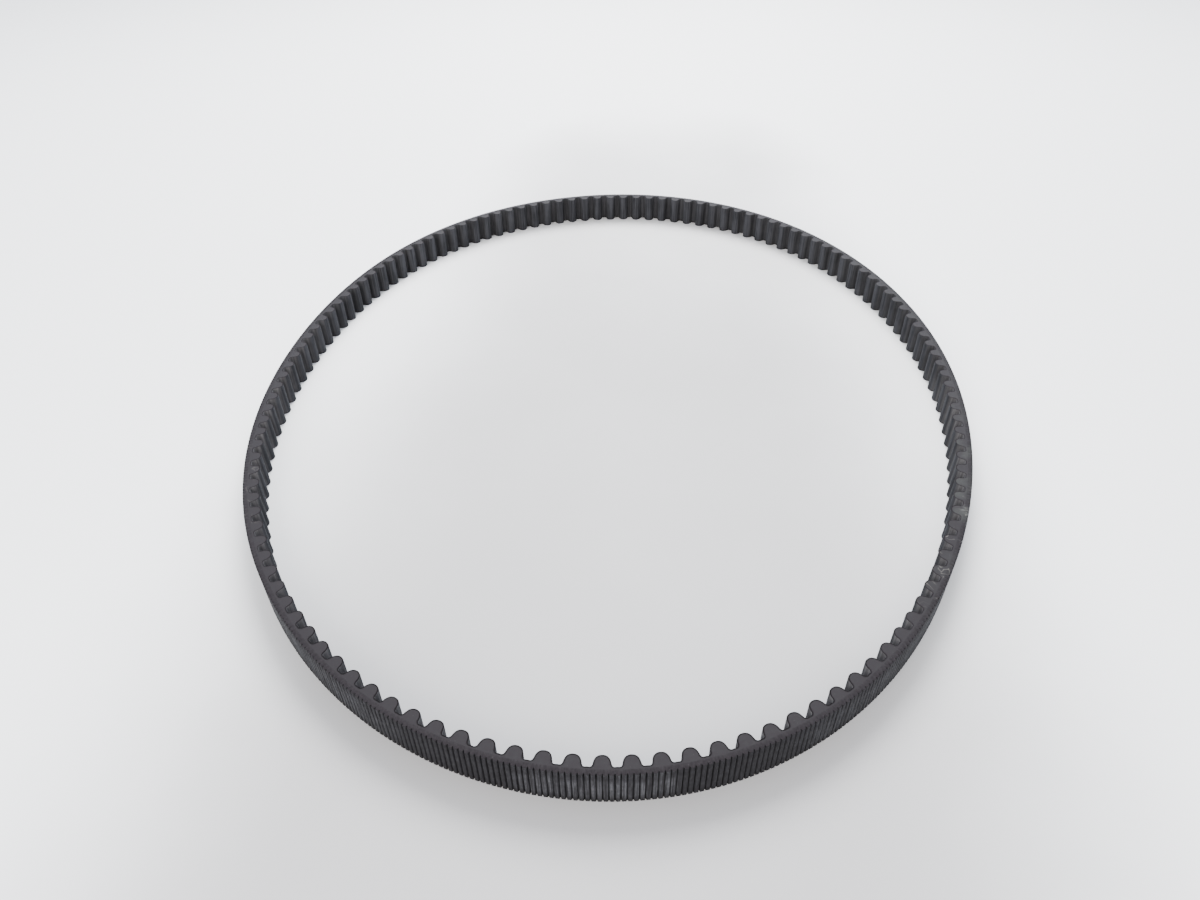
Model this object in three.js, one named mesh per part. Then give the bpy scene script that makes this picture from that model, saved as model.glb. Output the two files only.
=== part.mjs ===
import * as THREE from 'three';

/*
 * A toothed drive belt, made as one endless loop and lying on its edge in its own relaxed oval.
 * The loop stands on z = 0, the belt's width runs up +Z, and the long axis of the oval is Y.
 *
 * The belt is four bonded layers. From the outside in they are the rubber backing, the band of
 * tensile cords, the moulded rubber teeth and the nylon facing on the teeth. To bend, the loop is
 * divided into lengths that hinge on the cords at the middle of a land, where a real belt bends.
 */

// The belt's section, in millimetres. Depths are measured from the pitch line, which is the cords' centre.
const TOOTH_PITCH = 14;
const TOOTH_COUNT = 131;
const BELT_WIDTH = 24;
const BACK_DISTANCE = 3;
const LAND_DISTANCE = 1.4;
const FACING_THICKNESS = 0.45;
const CORD_BAND_THICKNESS = 1;
const CORD_EDGE_INSET = 0.6;
const LAYER_GAP = 0.05;

// Cross grooves in the back. They keep no step with the teeth: 644 of them go round the whole loop.
const GROOVE_COUNT = 644;
const GROOVE_WIDTH = 1.2;
const GROOVE_DEPTH = 0.9;

// One tooth, as half widths at heights over the land.
const TOOTH_HEIGHT = 6;
const ROOT_HALF_WIDTH = 5;
const FLANK_HALF_WIDTH = 3.95;
const FLANK_HEIGHT = 3.1;
const CROWN_HALF_WIDTH = 2.45;
const CROWN_HEIGHT = 5.35;

// The relaxed loop. A circle's heading grows evenly, and these waves make it an oval, a little uneven as
// a real belt lies. A mirrored part bends the left and the right side alike, a lopsided part does not.
const SHAPE_WAVES = [
  { waves: 2, mirrored: 0.19, lopsided: 0 },
  { waves: 3, mirrored: 0.016, lopsided: -0.005 },
  { waves: 4, mirrored: 0.01, lopsided: -0.01 },
  { waves: 5, mirrored: 0.005, lopsided: -0.01 },
];
const STEPS_PER_TOOTH = 56;
const CLOSING_ROUNDS = 40;

// The lengths that the loop is divided into, counted in teeth. Both branches start at the front length.
const FRONT_TEETH = 9;
const BRANCH_TEETH = [10, 10, 9, 9, 9, 9, 5];
const BUTT_GAP = 0.65;

const PITCH_LENGTH = TOOTH_PITCH * TOOTH_COUNT;
const STEP = TOOTH_PITCH / STEPS_PER_TOOTH;
const LOOP_STEPS = TOOTH_COUNT * STEPS_PER_TOOTH;
const GROOVE_SPACING = PITCH_LENGTH / GROOVE_COUNT;

const LOOKS = {
  backing: { color: 0x4b4a4f, roughness: 0.82, metalness: 0 },
  cords: { color: 0xb9a46a, roughness: 0.7, metalness: 0 },
  teeth: { color: 0x3c3c41, roughness: 0.8, metalness: 0 },
  facing: { color: 0x46484e, roughness: 0.72, metalness: 0 },
};

// Direction of travel at a distance from the front of the loop: 0 is +X, and it turns left.
function headingAt(distance, closingWave) {
  const turn = (2 * Math.PI * distance) / PITCH_LENGTH;
  let heading = turn;
  for (const { waves, mirrored, lopsided } of [closingWave, ...SHAPE_WAVES]) {
    heading += mirrored * Math.sin(waves * turn) + lopsided * (Math.cos(waves * turn) - 1);
  }
  return heading;
}

// The pitch line, from the front of the loop round its right side and back to the front, in equal steps.
function pitchPoints(closingWave) {
  const points = [new THREE.Vector2(0, 0)];
  for (let i = 0; i < LOOP_STEPS; i += 1) {
    const heading = headingAt((i + 0.5) * STEP, closingWave);
    const last = points[i];
    points.push(new THREE.Vector2(last.x + STEP * Math.cos(heading), last.y + STEP * Math.sin(heading)));
  }
  return points;
}

// The small first wave that brings the loop's end back to its start. Each round removes most of the gap.
function findClosingWave() {
  const wave = { waves: 1, mirrored: 0, lopsided: 0 };
  for (let round = 0; round < CLOSING_ROUNDS; round += 1) {
    const gap = pitchPoints(wave)[LOOP_STEPS];
    wave.mirrored += (2 * gap.x) / PITCH_LENGTH;
    wave.lopsided -= (2 * gap.y) / PITCH_LENGTH;
  }
  return wave;
}

const closingWave = findClosingWave();
const pitchLine = pitchPoints(closingWave);

// Point and directions of the pitch line. A negative distance runs round the left side.
function frameAt(distance) {
  const steps = THREE.MathUtils.euclideanModulo(distance, PITCH_LENGTH) / STEP;
  const index = Math.min(Math.floor(steps), LOOP_STEPS - 1);
  const point = pitchLine[index].clone().lerp(pitchLine[index + 1], steps - index);
  const heading = headingAt(distance, closingWave);
  return {
    point,
    along: new THREE.Vector2(Math.cos(heading), Math.sin(heading)),
    outward: new THREE.Vector2(Math.sin(heading), -Math.cos(heading)),
  };
}

function place(distance, along, outward) {
  const frame = frameAt(distance);
  return frame.point.addScaledVector(frame.along, along).addScaledVector(frame.outward, outward);
}

function endsOf(length) {
  return {
    start: (length.firstTooth - 0.5) * TOOTH_PITCH + BUTT_GAP / 2,
    end: (length.lastTooth + 0.5) * TOOTH_PITCH - BUTT_GAP / 2,
  };
}

// A smooth face of one length, at one distance outside the pitch line.
function smoothFace(length, outward) {
  const { start, end } = endsOf(length);
  const points = [place(start, 0, outward)];
  for (let tooth = length.firstTooth; tooth <= length.lastTooth; tooth += 1) {
    points.push(place(tooth * TOOTH_PITCH, 0, outward));
  }
  points.push(place(end, 0, outward));
  return points;
}

// The outer face of one length: flat ribs with a V groove between each two, and plain at both ends.
function groovedFace(length) {
  const { start, end } = endsOf(length);
  const firstGroove = Math.ceil((start + GROOVE_WIDTH) / GROOVE_SPACING);
  const lastGroove = Math.floor((end - GROOVE_WIDTH) / GROOVE_SPACING);
  const points = [place(start, 0, BACK_DISTANCE)];
  for (let groove = firstGroove; groove <= lastGroove; groove += 1) {
    const centre = groove * GROOVE_SPACING;
    points.push(place(centre - GROOVE_WIDTH / 2, 0, BACK_DISTANCE));
    points.push(place(centre, 0, BACK_DISTANCE - GROOVE_DEPTH));
    points.push(place(centre + GROOVE_WIDTH / 2, 0, BACK_DISTANCE));
  }
  points.push(place(end, 0, BACK_DISTANCE));
  return points;
}

function toothProfile() {
  return [
    [-ROOT_HALF_WIDTH, 0],
    [-FLANK_HALF_WIDTH, FLANK_HEIGHT],
    [-CROWN_HALF_WIDTH, CROWN_HEIGHT],
    [0, TOOTH_HEIGHT],
    [CROWN_HALF_WIDTH, CROWN_HEIGHT],
    [FLANK_HALF_WIDTH, FLANK_HEIGHT],
    [ROOT_HALF_WIDTH, 0],
  ];
}

// The running face of one length: lands and teeth, as a pulley meets them.
function toothedFace(length) {
  const { start, end } = endsOf(length);
  const points = [place(start, 0, -LAND_DISTANCE)];
  for (let tooth = length.firstTooth; tooth <= length.lastTooth; tooth += 1) {
    for (const [along, height] of toothProfile()) {
      points.push(place(tooth * TOOTH_PITCH, along, -LAND_DISTANCE - height));
    }
  }
  points.push(place(end, 0, -LAND_DISTANCE));
  return points;
}

function outwardNormal(from, to) {
  return new THREE.Vector2(to.y - from.y, from.x - to.x).normalize();
}

// The same face moved outward by a constant thickness, with its corners mitred.
function movedOutward(points, thickness) {
  return points.map((point, i) => {
    const before = outwardNormal(points[Math.max(i - 1, 0)], points[Math.max(i, 1)]);
    const lastSegment = points.length - 2;
    const after = outwardNormal(points[Math.min(i, lastSegment)], points[Math.min(i + 1, lastSegment + 1)]);
    const mitre = before.clone().add(after).normalize();
    return point.clone().addScaledVector(mitre, thickness / mitre.dot(before));
  });
}

// A layer between two faces, standing between two heights.
function layer(kind, length, innerFace, outerFace, bottom, top) {
  const outline = new THREE.Shape([...outerFace, ...innerFace.reverse()]);
  const geometry = new THREE.ExtrudeGeometry(outline, { depth: top - bottom, bevelEnabled: false });
  const mesh = new THREE.Mesh(geometry, new THREE.MeshStandardMaterial(LOOKS[kind]));
  mesh.name = `${kind}_${length.name}`;
  mesh.position.z = bottom;
  return mesh;
}

function backing(length) {
  const inner = smoothFace(length, CORD_BAND_THICKNESS / 2 + LAYER_GAP);
  const outer = groovedFace(length);
  return layer('backing', length, inner, outer, 0, BELT_WIDTH);
}

function tensileCords(length) {
  const inner = smoothFace(length, -CORD_BAND_THICKNESS / 2);
  const outer = smoothFace(length, CORD_BAND_THICKNESS / 2);
  return layer('cords', length, inner, outer, CORD_EDGE_INSET, BELT_WIDTH - CORD_EDGE_INSET);
}

function teeth(length) {
  const inner = movedOutward(toothedFace(length), FACING_THICKNESS + LAYER_GAP);
  const outer = smoothFace(length, -CORD_BAND_THICKNESS / 2 - LAYER_GAP);
  return layer('teeth', length, inner, outer, 0, BELT_WIDTH);
}

function facing(length) {
  const inner = toothedFace(length);
  const outer = movedOutward(inner, FACING_THICKNESS);
  return layer('facing', length, inner, outer, 0, BELT_WIDTH);
}

// The lengths of one branch. Side 1 runs round the right of the loop and side -1 round the left.
function branchLengths(sideName, side) {
  let nextTooth = (FRONT_TEETH + 1) / 2;
  return BRANCH_TEETH.map((count, i) => {
    const near = nextTooth;
    const far = nextTooth + count - 1;
    nextTooth += count;
    return {
      name: `${sideName}_${i + 1}`,
      firstTooth: Math.min(side * near, side * far),
      lastTooth: Math.max(side * near, side * far),
    };
  });
}

function beltLength(length) {
  const group = new THREE.Group();
  group.add(backing(length), tensileCords(length), teeth(length), facing(length));
  return group;
}

const reach = (FRONT_TEETH - 1) / 2;
const lengths = [
  { name: 'front', firstTooth: -reach, lastTooth: reach },
  ...branchLengths('right', 1),
  ...branchLengths('left', -1),
];

const timingBelt = new THREE.Group();
timingBelt.add(...lengths.map(beltLength));
const middle = new THREE.Box3().setFromObject(timingBelt).getCenter(new THREE.Vector3());
timingBelt.position.set(-middle.x, -middle.y, 0);

export default timingBelt;
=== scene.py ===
import math

import bpy
import numpy as np
from mathutils import Matrix, Vector


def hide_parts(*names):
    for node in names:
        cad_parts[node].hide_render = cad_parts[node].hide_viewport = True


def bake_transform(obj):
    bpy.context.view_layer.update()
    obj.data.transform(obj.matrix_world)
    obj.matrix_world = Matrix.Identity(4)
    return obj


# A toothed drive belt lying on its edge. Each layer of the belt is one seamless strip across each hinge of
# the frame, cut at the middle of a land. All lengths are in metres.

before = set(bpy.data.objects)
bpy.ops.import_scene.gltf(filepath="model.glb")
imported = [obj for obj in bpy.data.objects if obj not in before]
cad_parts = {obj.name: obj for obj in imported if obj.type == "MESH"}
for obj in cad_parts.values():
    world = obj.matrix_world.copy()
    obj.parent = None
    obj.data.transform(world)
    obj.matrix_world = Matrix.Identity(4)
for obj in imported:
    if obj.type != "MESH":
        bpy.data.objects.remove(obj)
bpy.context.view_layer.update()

MM = 0.001

# The belt's section, as the frame has it. Offsets are measured outwards from the pitch line.
TOOTH_PITCH = 14 * MM
TOOTH_COUNT = 131
WIDTH = 24 * MM
BACK_OFFSET = 2.995 * MM
LAND_OFFSET = -1.4 * MM
TOOTH_HEIGHT = 6 * MM
FACING_THICKNESS = 0.45 * MM
CORD_DIAMETER = 1 * MM
# a little under half the diameter, so that a cord doesn't touch the rubber round it
CORD_RADIUS = 0.49 * CORD_DIAMETER
CORD_SIDES = 6
CORD_SPACING = 1.2 * MM
EDGE_COVER = 0.6 * MM
LOOP_LENGTH = TOOTH_PITCH * TOOTH_COUNT

# The relaxed loop's heading, as the frame has it: (waves in one turn, mirrored part, lopsided part).
SHAPE_WAVES = [(2, 0.19, 0.0), (3, 0.016, -0.005), (4, 0.01, -0.01), (5, 0.005, -0.01)]

# The grooved back.
GROOVE_COUNT = 644
GROOVE_SPACING = LOOP_LENGTH / GROOVE_COUNT
GROOVE_DEPTH = 0.9 * MM
GROOVE_FLOOR = 0.08 * MM
GROOVE_REACH = 0.58 * MM
GROOVE_WALL_POINTS = 5
CUT_MARGIN = 0.02 * MM
BACK_EDGE_ROUNDING = 0.16 * MM
FACING_EDGE_ROUNDING = 0.14 * MM

# The rubber is darker beside the facing, over this width.
RIM_WIDTH = 0.5 * MM

# Where the strips are cut, in tooth pitches from the front of the loop, on one side of it. The last cut is
# the open one at the back of the loop, and its two ends are OPEN_GAP apart.
CUTS = [0.5, 9.5, 19.5, 28.5, 38.5, 47.5, 56.5, 65.5]
HINGES_PER_SIDE = len(CUTS) - 1
OPEN_GAP = 0.02 * MM


# ---------------------------------------------------------------- the pitch line

STEPS_PER_TOOTH = 56
STEP = TOOTH_PITCH / STEPS_PER_TOOTH
LOOP_STEPS = TOOTH_COUNT * STEPS_PER_TOOTH
CLOSING_ROUNDS = 40


def heading(distance, closing_wave):
    """Direction of travel: 0 is +X at the front of the loop, and it turns left."""
    turn = 2 * math.pi * distance / LOOP_LENGTH
    result = turn
    for waves, mirrored, lopsided in [closing_wave, *SHAPE_WAVES]:
        result = result + mirrored * np.sin(waves * turn) + lopsided * (np.cos(waves * turn) - 1)
    return result


def whole_loop(closing_wave):
    directions = heading((np.arange(LOOP_STEPS) + 0.5) * STEP, closing_wave)
    steps = np.stack([np.cos(directions), np.sin(directions)], 1) * STEP
    return np.concatenate([np.zeros((1, 2)), np.cumsum(steps, 0)])


def find_closing_wave():
    """The small first wave that brings the loop's end back to its start."""
    mirrored, lopsided = 0.0, 0.0
    for _ in range(CLOSING_ROUNDS):
        gap = whole_loop((1, mirrored, lopsided))[-1]
        mirrored += 2 * gap[0] / LOOP_LENGTH
        lopsided -= 2 * gap[1] / LOOP_LENGTH
    return 1, mirrored, lopsided


closing_wave = find_closing_wave()
pitch_line = whole_loop(closing_wave)
distances = np.arange(LOOP_STEPS + 1) * STEP


def place(distance, along=0.0, outward=0.0):
    """Points beside the pitch line. A negative distance runs round the left side of the loop."""
    distance = np.asarray(distance, float)
    direction = heading(distance, closing_wave)
    cos, sin = np.cos(direction), np.sin(direction)
    x = np.interp(distance % LOOP_LENGTH, distances, pitch_line[:, 0])
    y = np.interp(distance % LOOP_LENGTH, distances, pitch_line[:, 1])
    return np.stack([x + along * cos + outward * sin, y + along * sin - outward * cos], 1)


back_face = place(distances, 0, BACK_OFFSET)
pitch_line -= (back_face.min(0) + back_face.max(0)) / 2


def line_normals(points):
    """The outward direction at each point of a line that runs along the belt."""
    ahead = np.gradient(points, axis=0)
    ahead /= np.linalg.norm(ahead, axis=1)[:, None]
    return np.stack([ahead[:, 1], -ahead[:, 0]], 1)


def belt_normals(distance):
    return place(distance, 0, 1.0) - place(distance)


# ---------------------------------------------------------------- outlines of the layers


def groove_depth(distance):
    from_groove = (0.5 - np.abs((distance / GROOVE_SPACING) % 1 - 0.5)) * GROOVE_SPACING
    share = np.clip((from_groove - GROOVE_FLOOR) / (GROOVE_REACH - GROOVE_FLOOR), 0, 1)
    return GROOVE_DEPTH * (0.5 + 0.5 * np.cos(math.pi * share))


def back_samples(start, end):
    """Distances along the belt that catch every rib and groove."""
    wall = np.linspace(GROOVE_FLOOR, GROOVE_REACH, GROOVE_WALL_POINTS)
    one = np.concatenate([[0], wall, [GROOVE_SPACING / 2], GROOVE_SPACING - wall[::-1]])
    first, last = math.floor(start / GROOVE_SPACING), math.ceil(end / GROOVE_SPACING)
    every = (np.arange(first, last)[:, None] * GROOVE_SPACING + one).ravel()
    inside = (every > start + CUT_MARGIN) & (every < end - CUT_MARGIN)
    return np.concatenate([[start], every[inside], [end]])


def bezier(a, b, c, d, count):
    """count points on a cubic curve from a to d, without d itself."""
    t = np.linspace(0, 1, count + 1)[:-1, None]
    a, b, c, d = (np.array(p, float) for p in (a, b, c, d))
    return a * (1 - t) ** 3 + 3 * b * t * (1 - t) ** 2 + 3 * c * t**2 * (1 - t) + d * t**3


def tooth_profile():
    """(along, height) from a tooth's left root over its crown to its right root, in metres."""
    # the corners and handles of the left half, in millimetres
    root, flank_foot, crown = (-5.9, 0), (-4.36, 1.65), (0, TOOTH_HEIGHT / MM)
    fillet = bezier(root, (-5.15, 0), (-4.62, 0.4), flank_foot, count=7)
    flank = bezier(flank_foot, (-3.98, 3.7), (-3.1, TOOTH_HEIGHT / MM), crown, count=13)
    left = np.concatenate([fillet, flank])
    return np.concatenate([left, [crown], left[::-1] * (-1, 1)]) * MM


PROFILE = tooth_profile()


def toothed_line(start, end):
    """(distances, points) of the running face between two land centres."""
    first = round(start / TOOTH_PITCH + 0.5)
    last = round(end / TOOTH_PITCH - 0.5)
    along = [[start]]
    points = [place([start], 0, LAND_OFFSET)]
    for tooth in range(first, last + 1):
        centre = np.full(len(PROFILE), tooth * TOOTH_PITCH)
        along.append(centre + PROFILE[:, 0])
        points.append(place(centre, PROFILE[:, 0], LAND_OFFSET - PROFILE[:, 1]))
        land = min(tooth * TOOTH_PITCH + TOOTH_PITCH / 2, end)
        along.append([land])
        points.append(place([land], 0, LAND_OFFSET))
    return np.concatenate(along), np.concatenate(points)


# ---------------------------------------------------------------- meshes


def new_object(name, vertices, faces, belt_place, rim, material, sharp_degrees=40):
    """A mesh with the attributes that its material reads: rim, belt_place and rest_place."""
    mesh = bpy.data.meshes.new(name)
    mesh.from_pydata(vertices.tolist(), [], faces)
    mesh.attributes.new("rim", "FLOAT", "POINT").data.foreach_set("value", np.float32(rim))
    for key, values in (("belt_place", belt_place), ("rest_place", vertices)):
        attribute = mesh.attributes.new(key, "FLOAT_VECTOR", "POINT")
        attribute.data.foreach_set("vector", values.astype(np.float32).ravel())
    mesh.shade_smooth()
    mesh.set_sharp_from_angle(angle=math.radians(sharp_degrees))
    mesh.materials.append(material)
    mesh.update()
    obj = bpy.data.objects.new(name, mesh)
    bpy.context.collection.objects.link(obj)
    return obj


def strip(name, distance, lines, normals, ring, material):
    """A closed strip along the belt. lines is {key: points}, and ring is its section, as (key, inset,
    height): a point on that line, moved by inset along the normals. rim is 1 along the core line."""
    middle, out = place(distance), belt_normals(distance)
    columns, places = [], []
    for key, inset, height in ring:
        points = lines[key] + normals * inset
        offset = ((points - middle) * out).sum(1)
        columns.append(np.column_stack([points, np.full(len(points), height)]))
        places.append(np.column_stack([distance, offset, np.full(len(points), height)]))
    count, size = len(distance), len(ring)
    vertices = np.stack(columns, 1).reshape(-1, 3)
    belt_place = np.stack(places, 1).reshape(-1, 3)
    rim = np.tile([float(key == "core") for key, _, _ in ring], count)
    faces = []
    for i in range(count - 1):
        for j in range(size):
            k = (j + 1) % size
            faces.append((i * size + j, (i + 1) * size + j, (i + 1) * size + k, i * size + k))
    faces.append(tuple(range(size)))
    faces.append(tuple(range(count * size - 1, (count - 1) * size - 1, -1)))
    return new_object(name, vertices, faces, belt_place, rim, material)


def rounded(key, rounding, heights, outer):
    """The part of a section that runs up one face of the belt, with both its edges rounded."""
    inward = -1 if outer else 1
    # both ends of the rounding and the middle of its arc
    corner = [(1, 0), (0.3, 0.3), (0, 1)]
    low = [(key, inward * rounding * a, rounding * b) for a, b in corner]
    high = [(key, inward * rounding * a, WIDTH - rounding * b) for a, b in reversed(corner)]
    return low + [(key, 0, h) for h in heights] + high


ROWS = [WIDTH * share for share in (0.25, 0.5, 0.75)]


def backing_strip(name, start, end):
    distance = back_samples(start, end)
    lines = {
        "back": place(distance, 0, BACK_OFFSET - groove_depth(distance)),
        "cords": place(distance, 0, CORD_DIAMETER / 2),
        "lip": place(distance),
    }
    ring = [("lip", 0, 0), *rounded("back", BACK_EDGE_ROUNDING, ROWS, True), ("lip", 0, WIDTH)]
    ring += [("lip", 0, WIDTH - EDGE_COVER), ("cords", 0, WIDTH - EDGE_COVER)]
    ring += [("cords", 0, EDGE_COVER), ("lip", 0, EDGE_COVER)]
    return strip(name, distance, lines, belt_normals(distance), ring, backing_rubber)


def face_normals(face, start, end):
    """Normals of the running face, square to the belt at both cuts so that the ends are flat."""
    normals = line_normals(face)
    normals[[0, -1]] = belt_normals(np.array([start, end]))
    return normals


def teeth_strip(name, start, end):
    distance, face = toothed_line(start, end)
    normals = face_normals(face, start, end)
    lines = {
        "core": face + normals * FACING_THICKNESS,
        "heart": face + normals * (FACING_THICKNESS + RIM_WIDTH),
        "cords": place(distance, 0, -CORD_DIAMETER / 2),
        "lip": place(distance),
    }
    ring = [("core", 0, 0), ("heart", 0, 0), ("lip", 0, 0), ("lip", 0, EDGE_COVER), ("cords", 0, EDGE_COVER)]
    ring += [("cords", 0, WIDTH - EDGE_COVER), ("lip", 0, WIDTH - EDGE_COVER)]
    ring += [("lip", 0, WIDTH), ("heart", 0, WIDTH), ("core", 0, WIDTH)]
    return strip(name, distance, lines, normals, ring, tooth_rubber)


def facing_strip(name, start, end):
    distance, face = toothed_line(start, end)
    normals = face_normals(face, start, end)
    lines = {"face": face, "core": face + normals * FACING_THICKNESS}
    run = rounded("face", FACING_EDGE_ROUNDING, ROWS, False)
    ring = [("core", 0, 0), ("core", 0, WIDTH), *reversed(run)]
    return strip(name, distance, lines, normals, ring, tooth_facing)


def cords_strip(name, start, end):
    """The turns of the one long cord: it climbs by one spacing each time it goes round."""
    distance = np.linspace(start, end, 1 + round((end - start) / (TOOTH_PITCH / 2)))
    middle, out = place(distance), belt_normals(distance)
    climb = CORD_SPACING * (distance / LOOP_LENGTH + 0.5)
    turns = round((WIDTH - 2 * EDGE_COVER) / CORD_SPACING) - 1
    angles = np.arange(CORD_SIDES) * 2 * math.pi / CORD_SIDES
    vertices, places, faces = [], [], []
    for turn in range(turns):
        first = turn * len(distance) * CORD_SIDES
        centre = 2 * EDGE_COVER + turn * CORD_SPACING + climb
        for i in range(len(distance)):
            for angle in angles:
                offset = CORD_RADIUS * math.cos(angle)
                height = centre[i] + CORD_RADIUS * math.sin(angle)
                vertices.append((*(middle[i] + out[i] * offset), height))
                places.append((distance[i], offset, height))
        for i in range(len(distance) - 1):
            for j in range(CORD_SIDES):
                k = (j + 1) % CORD_SIDES
                a, b = first + i * CORD_SIDES, first + (i + 1) * CORD_SIDES
                faces.append((a + j, b + j, b + k, a + k))
        faces.append(tuple(first + j for j in range(CORD_SIDES)))
        faces.append(tuple(first + len(distance) * CORD_SIDES - 1 - j for j in range(CORD_SIDES)))
    rim = np.zeros(len(vertices))
    return new_object(name, np.array(vertices), faces, np.array(places), rim, tensile_cord, sharp_degrees=80)


# ---------------------------------------------------------------- materials


class Nodes:
    """Short calls for building one material's node tree.

    Two attributes place the textures, so that they stay put when the belt bends. belt_place is the distance
    along the belt, the distance outside the pitch line and the height. rest_place is the point at rest."""

    def __init__(self, name, roughness, **values):
        self.material = bpy.data.materials.new(name)
        self.material.use_nodes = True
        self.tree = self.material.node_tree
        self.shader = self.tree.nodes["Principled BSDF"]
        self.shader.inputs["Roughness"].default_value = roughness
        for key, value in values.items():
            self.shader.inputs[key.replace("_", " ")].default_value = value
        self.belt = self.attribute("belt_place")
        self.rest = self.attribute("rest_place")
        self.along, self.outward, self.height = self.split(self.belt)

    def attribute(self, name, output="Vector"):
        node = self.tree.nodes.new("ShaderNodeAttribute")
        node.attribute_name = name
        return node.outputs[output]

    def split(self, vector):
        node = self.tree.nodes.new("ShaderNodeSeparateXYZ")
        self.tree.links.new(vector, node.inputs[0])
        return node.outputs

    def link(self, source, socket):
        if hasattr(source, "links"):
            self.tree.links.new(source, socket)
        else:
            socket.default_value = source

    def noise(self, vector, scale, detail=3.0, roughness=0.55, distortion=0.0):
        """Noise with a size of its own along each axis: scale is in waves per metre."""
        scaled = self.tree.nodes.new("ShaderNodeVectorMath")
        scaled.operation = "MULTIPLY"
        self.tree.links.new(vector, scaled.inputs[0])
        scaled.inputs[1].default_value = scale if isinstance(scale, tuple) else (scale, scale, scale)
        node = self.tree.nodes.new("ShaderNodeTexNoise")
        node.inputs["Scale"].default_value = 1.0
        node.inputs["Detail"].default_value = detail
        node.inputs["Roughness"].default_value = roughness
        node.inputs["Distortion"].default_value = distortion
        self.tree.links.new(scaled.outputs[0], node.inputs["Vector"])
        return node.outputs["Fac"]

    def math(self, operation, a, b=0.0, clamp=False):
        node = self.tree.nodes.new("ShaderNodeMath")
        node.operation = operation
        node.use_clamp = clamp
        self.link(a, node.inputs[0])
        self.link(b, node.inputs[1])
        return node.outputs[0]

    def times(self, first, *others):
        for other in others:
            first = self.math("MULTIPLY", first, other)
        return first

    def between(self, value, low, high, to_low=0.0, to_high=1.0):
        node = self.tree.nodes.new("ShaderNodeMapRange")
        node.interpolation_type = "SMOOTHSTEP"
        self.link(value, node.inputs["Value"])
        for socket, number in zip(node.inputs[1:5], (low, high, to_low, to_high)):
            socket.default_value = number
        return node.outputs["Result"]

    def wave(self, value, length):
        return self.math("SINE", self.math("MULTIPLY", value, 2 * math.pi / length))

    def mix(self, share, a, b):
        node = self.tree.nodes.new("ShaderNodeMix")
        node.data_type = "RGBA"
        self.link(share, node.inputs["Factor"])
        self.link(a if hasattr(a, "links") else (*a, 1.0), node.inputs["A"])
        self.link(b if hasattr(b, "links") else (*b, 1.0), node.inputs["B"])
        return node.outputs["Result"]

    def on_cut_edge(self):
        """1 on the belt's two cut edges, which face up and down, and 0 on its faces."""
        geometry = self.tree.nodes.new("ShaderNodeNewGeometry")
        upward = self.math("ABSOLUTE", self.split(geometry.outputs["Normal"])["Z"])
        return self.between(upward, 0.6, 0.95)

    def beside(self):
        """1 at the left and right of the loop, where the dark rim and the facing's cut edge are paler, and 0
        at its front and back.
        """
        return self.between(self.math("ABSOLUTE", self.split(self.rest)["X"]), 130 * MM, 190 * MM)

    def finish(self, colour, roughness, height, distance, strength=1.0):
        """Joins the colour, the roughness if there is one, and a bump of that depth. Returns the material."""
        self.link(colour, self.shader.inputs["Base Color"])
        if roughness is not None:
            self.link(roughness, self.shader.inputs["Roughness"])
        bump = self.tree.nodes.new("ShaderNodeBump")
        bump.inputs["Strength"].default_value = strength
        bump.inputs["Distance"].default_value = distance
        self.tree.links.new(height, bump.inputs["Height"])
        self.tree.links.new(bump.outputs["Normal"], self.shader.inputs["Normal"])
        return self.material


def hairs(n, scale, width, where):
    """Thin curved scratches: the lines where a noise passes its middle value, broken into short lengths."""
    line = n.math("ABSOLUTE", n.math("SUBTRACT", n.noise(n.rest, scale, 1, 0.5, 0.6), 0.5))
    breaks = n.between(n.noise(n.rest, scale * 0.45, 1), 0.55, 0.62)
    return n.times(n.between(line, width * 0.3, width, 1, 0), breaks, where)


def cut_rubber(n):
    """(colour, grain) of the cut edges: fine grain, rubbed paler in places, with scratches and specks."""
    x, y, _ = n.split(n.rest)
    grain = n.noise(n.rest, 700, 5, 0.65)
    colour = n.mix(n.between(grain, 0.35, 0.7), (0.0074, 0.0055, 0.0069), (0.0128, 0.0099, 0.0117))
    right_side = n.between(x, 170 * MM, 210 * MM)
    rubbed = n.between(n.math("ABSOLUTE", n.math("ADD", y, 105 * MM)), 28 * MM, 55 * MM, 1, 0.25)
    patchy = n.between(n.noise(n.rest, 40, 3), 0.42, 0.60, 0, 0.75)
    colour = n.mix(n.times(rubbed, patchy, right_side), colour, (0.026, 0.027, 0.025))
    # a pale smear crosses the right side at a slant
    across = n.math("MULTIPLY", n.math("SUBTRACT", x, 230 * MM), 1.5)
    slant = n.math("ADD", n.math("ADD", y, 140 * MM), across)
    smear = n.between(n.math("ABSOLUTE", slant), 2 * MM, 8 * MM, 1, 0)
    streaky = n.between(n.noise(n.rest, (160, 900, 300), 3), 0.40, 0.62, 0, 0.6)
    colour = n.mix(n.times(smear, streaky, right_side), colour, (0.085, 0.087, 0.080))
    stretch = n.between(n.math("ABSOLUTE", n.math("ADD", y, 165 * MM)), 20 * MM, 70 * MM, 1, 0)
    left_side = n.between(x, -210 * MM, -170 * MM, 0.35, 0)
    scratched = n.times(stretch, n.math("ADD", right_side, left_side))
    scratches = n.math("MAXIMUM", hairs(n, 190, 0.022, scratched), hairs(n, 110, 0.012, scratched))
    colour = n.mix(n.math("MULTIPLY", scratches, 0.4), colour, (0.20, 0.19, 0.17))
    specks = n.between(n.noise(n.rest, 1500, 2), 0.68, 0.74, 0, 0.35)
    return n.mix(specks, colour, (0.07, 0.068, 0.065)), grain


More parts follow.
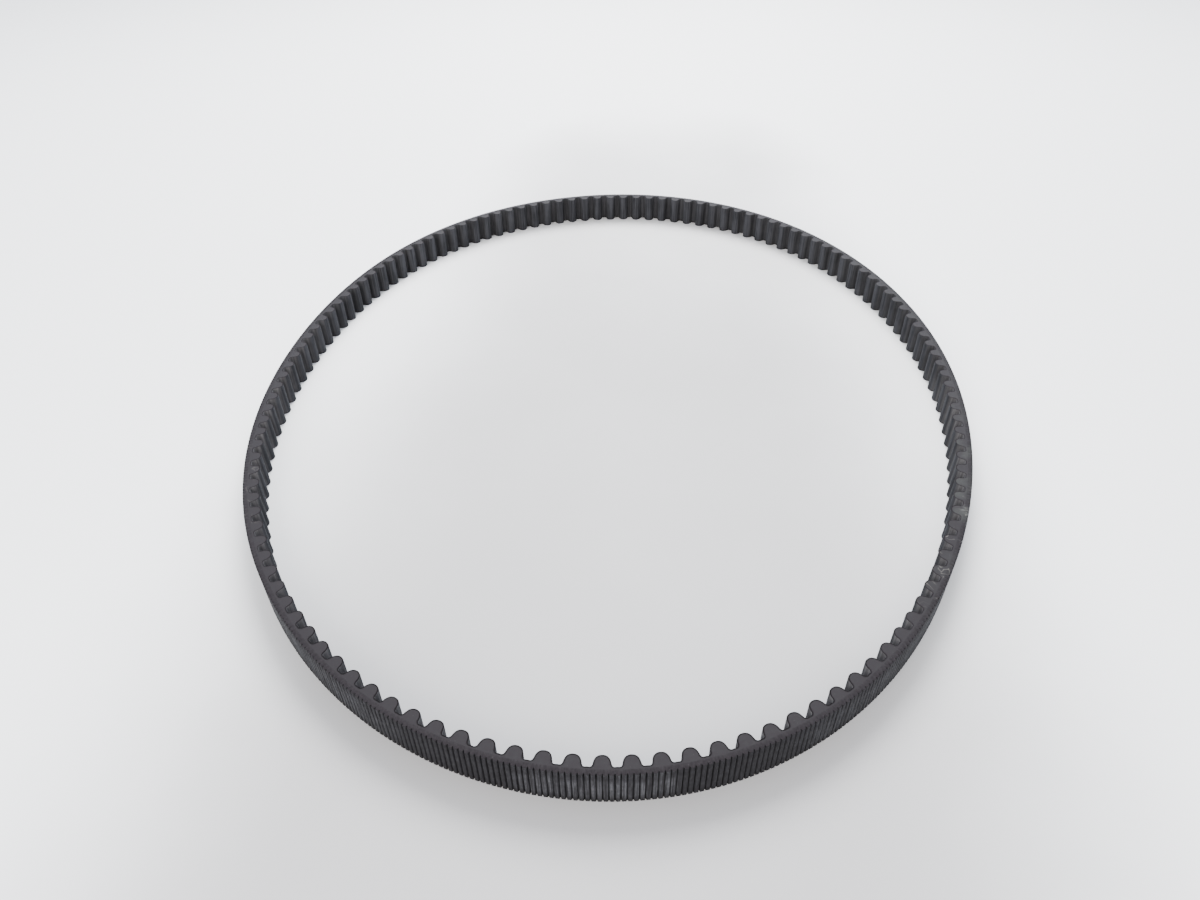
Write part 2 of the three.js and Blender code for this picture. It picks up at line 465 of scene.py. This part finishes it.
def make_backing_rubber():
    n = Nodes("backing_rubber", 0.7, Specular_IOR_Level=0.16)
    streaks = n.noise(n.belt, (1250, 300, 28), 5, 0.7)
    patches = n.noise(n.belt, (140, 60, 230), 4, 0.7)
    # the ribs are paler in one place at the front of the loop, and half as much further round: partly real
    # rubbing, partly a painted sheen
    aside = n.math("ABSOLUTE", n.math("SUBTRACT", n.along, 10 * MM))
    near = n.times(n.between(n.along, -38 * MM, -10 * MM), n.between(n.along, 45 * MM, 53 * MM, 1, 0))
    front = n.math("MAXIMUM", near, n.between(aside, 85 * MM, 120 * MM, 0, 0.5))
    middle = n.times(n.between(n.height, 1 * MM, 8 * MM), n.between(n.height, 16 * MM, 22 * MM, 1, 0))
    # painted shade: the grooves are painted dark, darkest near both edges, and paler at mid height and at the
    # front
    paler_groove = n.times(middle, n.between(front, 0, 1, 0.15, 1))
    groove = n.mix(paler_groove, (0.0015, 0.0014, 0.0018), (0.0108, 0.0103, 0.0116))
    crest = n.between(n.outward, 2.1 * MM, 2.65 * MM)
    mottle = n.between(n.noise(n.belt, (700, 300, 330), 3, 0.6), 0.35, 0.65)
    colour = n.mix(crest, groove, n.mix(mottle, (0.0077, 0.0073, 0.0086), (0.0141, 0.0137, 0.0162)))
    foot = n.between(n.height, 0.5 * MM, 7 * MM)
    drift = n.math("MULTIPLY", n.noise(n.belt, (45, 0, 0), 2), 14 * MM)
    shoulder = n.between(n.math("ADD", n.height, drift), 22 * MM, 28 * MM, 1, 0.35)
    marked = n.times(n.between(streaks, 0.38, 0.62), n.between(patches, 0.38, 0.60, 0.6, 1.0))
    strength = n.times(n.between(front, 0, 1, 0.15, 1), n.between(mottle, 0, 1, 0.8, 1.15))
    # pale streaks on the rib crests: real wear, with painted sheen where they gather at the front
    wear_and_sheen = n.times(marked, foot, shoulder, crest, strength)
    colour = n.mix(wear_and_sheen, colour, (0.074, 0.076, 0.084))
    cut, grain = cut_rubber(n)
    colour = n.mix(n.on_cut_edge(), colour, cut)
    gathered = n.between(n.noise(n.rest, 60, 2), 0.5, 0.75)
    specks = n.times(n.between(n.noise(n.rest, 1500, 2), 0.66, 0.72), gathered)
    colour = n.mix(n.math("MULTIPLY", specks, 0.4), colour, (0.10, 0.098, 0.095))
    rough = n.between(streaks, 0.3, 0.7, 0.62, 0.8)
    height = n.math("ADD", grain, n.math("MULTIPLY", streaks, 0.8))
    return n.finish(colour, rough, height, 0.06 * MM, 0.6)


def make_tooth_rubber():
    n = Nodes("tooth_rubber", 0.75, Specular_IOR_Level=0.18)
    colour, grain = cut_rubber(n)
    faded = n.between(n.beside(), 0, 1, 1, 0.3)
    rim = n.math("MULTIPLY", n.between(n.attribute("rim", "Fac"), 0.1, 0.7), faded)
    colour = n.mix(rim, colour, (0.0045, 0.0034, 0.0042))
    rough = n.math("ADD", n.between(grain, 0.3, 0.7, 0.58, 0.74), n.math("MULTIPLY", rim, 0.2), clamp=True)
    return n.finish(colour, rough, grain, 0.05 * MM, 0.6)


# A dark tone painted as shade: in the shadow of the weave between its threads, and on the crests at the front
# and sides of the loop, which are painted darker than those at the back.
PAINTED_SHADE_TONE = (0.006, 0.006, 0.008)


def make_tooth_facing():
    n = Nodes("tooth_facing", 0.85, Specular_IOR_Level=0.1)
    thread = 0.55 * MM
    weave = n.math("MULTIPLY", n.wave(n.along, thread), n.wave(n.height, thread))
    streaks = n.noise(n.belt, (900, 700, 25), 4)
    patches = n.noise(n.rest, 50, 3)
    # a random tone of streaks and patches in the fabric
    tone_variation = n.math("ADD", n.math("MULTIPLY", streaks, 0.7), n.math("MULTIPLY", patches, 0.3))
    on_crest = n.mix(n.between(tone_variation, 0.38, 0.62), (0.0155, 0.016, 0.018), (0.043, 0.043, 0.048))
    # painted light: the gullets towards the front of the loop are painted about twice as pale as those at the
    # back
    plain_gullet = n.mix(n.between(tone_variation, 0.35, 0.65), (0.018, 0.018, 0.019), (0.042, 0.042, 0.045))
    painted_light_gullet = n.mix(n.between(tone_variation, 0.35, 0.65), (0.044, 0.042, 0.044), (0.092, 0.089, 0.092))
    rest_y = n.split(n.rest)["Y"]
    between_teeth = n.mix(n.between(rest_y, -50 * MM, 90 * MM), painted_light_gullet, plain_gullet)
    # painted shade: the crests are darker at the front and sides of the loop, and keep their tone at the back
    on_crest = n.mix(n.between(rest_y, 80 * MM, 220 * MM, 0.3, 0), on_crest, PAINTED_SHADE_TONE)
    colour = n.mix(n.between(n.outward, -6.8 * MM, -5 * MM), on_crest, between_teeth)
    # painted shade between the threads of the weave
    colour = n.mix(n.between(weave, -1, 1, 0, 0.25), colour, PAINTED_SHADE_TONE)
    crown = n.between(n.outward, -7.2 * MM, -5.5 * MM, 0.35, 0)
    colour = n.mix(n.times(crown, n.between(streaks, 0.4, 0.65)), colour, (0.035, 0.037, 0.042))
    cut = n.on_cut_edge()
    edge = n.mix(n.beside(), (0.0035, 0.0026, 0.0032), (0.0085, 0.0068, 0.0080))
    colour = n.mix(cut, colour, edge)
    rough = n.math("ADD", n.between(streaks, 0.3, 0.7, 0.75, 0.95), cut, clamp=True)
    height = n.math("ADD", n.math("MULTIPLY", weave, 0.5), streaks)
    return n.finish(colour, rough, height, 0.06 * MM, 0.7)


def make_tensile_cord():
    n = Nodes("tensile_cord", 0.55)
    twist = n.math("ADD", n.along, n.math("MULTIPLY", n.height, 1.5))
    strands = n.wave(twist, 0.8 * MM)
    colour = n.mix(n.between(strands, -1, 1), (0.25, 0.19, 0.08), (0.50, 0.41, 0.21))
    return n.finish(colour, None, strands, 0.08 * MM)


backing_rubber = make_backing_rubber()
tooth_rubber = make_tooth_rubber()
tooth_facing = make_tooth_facing()
tensile_cord = make_tensile_cord()


# ---------------------------------------------------------------- the belt

LAYERS = {
    "backing": (backing_strip, "backing_rubber"),
    "cords": (cords_strip, "tensile_cord"),
    "teeth": (teeth_strip, "tooth_rubber"),
    "facing": (facing_strip, "tooth_facing"),
}


def hinge_ends(side, index):
    """The bodies on both sides of one hinge, and where its strip is cut, first on the side of the front."""
    near = "front" if index == 0 else f"{side}_{index}"
    far = f"{side}_{index + 1}"
    sign = 1 if side == "right" else -1
    # the front length is cut once, at the land to the right of its middle tooth
    near_cut = (CUTS[0] if index == 0 else sign * CUTS[index]) * TOOTH_PITCH
    far_cut = sign * CUTS[index + 1] * TOOTH_PITCH
    if index == HINGES_PER_SIDE - 1:
        far_cut -= sign * OPEN_GAP / 2
    return near, far, near_cut, far_cut


def build_belt():
    for side in ("right", "left"):
        for index in range(HINGES_PER_SIDE):
            near, far, near_cut, far_cut = hinge_ends(side, index)
            start, end = min(near_cut, far_cut), max(near_cut, far_cut)
            for layer, (make, slot) in LAYERS.items():
                piece = make(f"{layer}_strip_{far}", start, end)
                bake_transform(piece)
                covered = [f"{layer}_{far}"] + ([f"{layer}_front"] if index == 0 else [])
                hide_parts(*covered)


build_belt()


# ---------------------------------------------------------------- floor, light and camera


def make_floor():
    """A plain pale floor with painted shade: greyer along the middle of the loop, most of all towards the
    front.
    """
    half = 8.0
    corners = [(-half, -half, 0), (half, -half, 0), (half, half, 0), (-half, half, 0)]
    mesh = bpy.data.meshes.new("floor")
    mesh.from_pydata(corners, [], [(0, 1, 2, 3)])
    n = Nodes("floor", 0.65)
    position = n.tree.nodes.new("ShaderNodeTexCoord").outputs["Object"]
    x, y, _ = n.split(position)
    # painted shade on the floor: darker along the middle of the loop and towards the front
    aside = n.between(n.math("ABSOLUTE", n.math("SUBTRACT", x, 0.02)), 0.08, 0.38)
    beyond = n.between(y, -0.4, 0.5, 0, 0.45)
    away = n.between(n.math("MAXIMUM", n.math("ABSOLUTE", x), n.math("ABSOLUTE", y)), 0.45, 0.95)
    uneven = n.between(n.noise(position, 3.0, 6), 0, 1, -0.15, 0.15)
    tone = n.math("ADD", n.math("ADD", aside, beyond), n.math("ADD", away, uneven))
    colour = n.mix(n.between(tone, 0, 1), (0.43, 0.419, 0.416), (0.96, 0.955, 0.95))
    n.link(colour, n.shader.inputs["Base Color"])
    mesh.materials.append(n.material)
    floor = bpy.data.objects.new("floor", mesh)
    bpy.context.collection.objects.link(floor)


def area_light(name, place_at, size, power, colour):
    """A round lamp that faces the middle of the loop."""
    data = bpy.data.lights.new(name, "AREA")
    data.shape = "DISK"
    data.size = size
    data.energy = power
    data.color = colour
    light = bpy.data.objects.new(name, data)
    light.location = place_at
    light.rotation_euler = (-Vector(place_at)).to_track_quat("-Z", "Y").to_euler()
    bpy.context.collection.objects.link(light)


def make_world(strength):
    """A soft sky, bright and cool behind the belt, and dimmer and slightly warm in front of it."""
    world = bpy.data.worlds.new("studio")
    world.use_nodes = True
    nodes, links = world.node_tree.nodes, world.node_tree.links
    background = nodes["Background"]
    background.inputs["Strength"].default_value = strength
    direction = nodes.new("ShaderNodeTexCoord")
    parts = nodes.new("ShaderNodeSeparateXYZ")
    reach = nodes.new("ShaderNodeMapRange")
    reach.inputs["From Min"].default_value = -1.0
    sky = nodes.new("ShaderNodeMix")
    sky.data_type = "RGBA"
    sky.inputs["A"].default_value = (0.61, 0.567, 0.53, 1)
    sky.inputs["B"].default_value = (1.16, 1.32, 1.55, 1)
    links.new(direction.outputs["Generated"], parts.inputs[0])
    links.new(parts.outputs["Y"], reach.inputs["Value"])
    links.new(reach.outputs["Result"], sky.inputs["Factor"])
    links.new(sky.outputs["Result"], background.inputs["Color"])
    bpy.context.scene.world = world


def make_camera():
    """The camera stands in front of the loop and looks down into it."""
    stand = (0.04474, -0.52204, 0.37788)
    down, roll, turned = math.radians(39.726), math.radians(0.898), math.radians(5.965)
    right = Vector((math.cos(turned), math.sin(turned), 0))
    level = Vector((-math.sin(turned), math.cos(turned), 0))
    forward = level * math.cos(down) - Vector((0, 0, math.sin(down)))
    up = level * math.sin(down) + Vector((0, 0, math.cos(down)))
    across = right * math.cos(roll) - up * math.sin(roll)
    upright = right * math.sin(roll) + up * math.cos(roll)
    data = bpy.data.cameras.new("camera")
    data.sensor_width = 36
    data.lens = 24.772
    data.clip_start = 0.01
    camera = bpy.data.objects.new("camera", data)
    rotation = Matrix((across, upright, -forward)).transposed()
    camera.matrix_world = Matrix.Translation(stand) @ rotation.to_4x4()
    bpy.context.collection.objects.link(camera)
    bpy.context.scene.camera = camera


make_floor()
make_world(strength=1.75)
area_light("key", place_at=(-0.05, 1.3, 1.6), size=1.3, power=112, colour=(0.99, 0.995, 1.0))
area_light("fill", place_at=(-0.5, -1.6, 1.1), size=1.4, power=48, colour=(1.0, 0.98, 0.955))
make_camera()
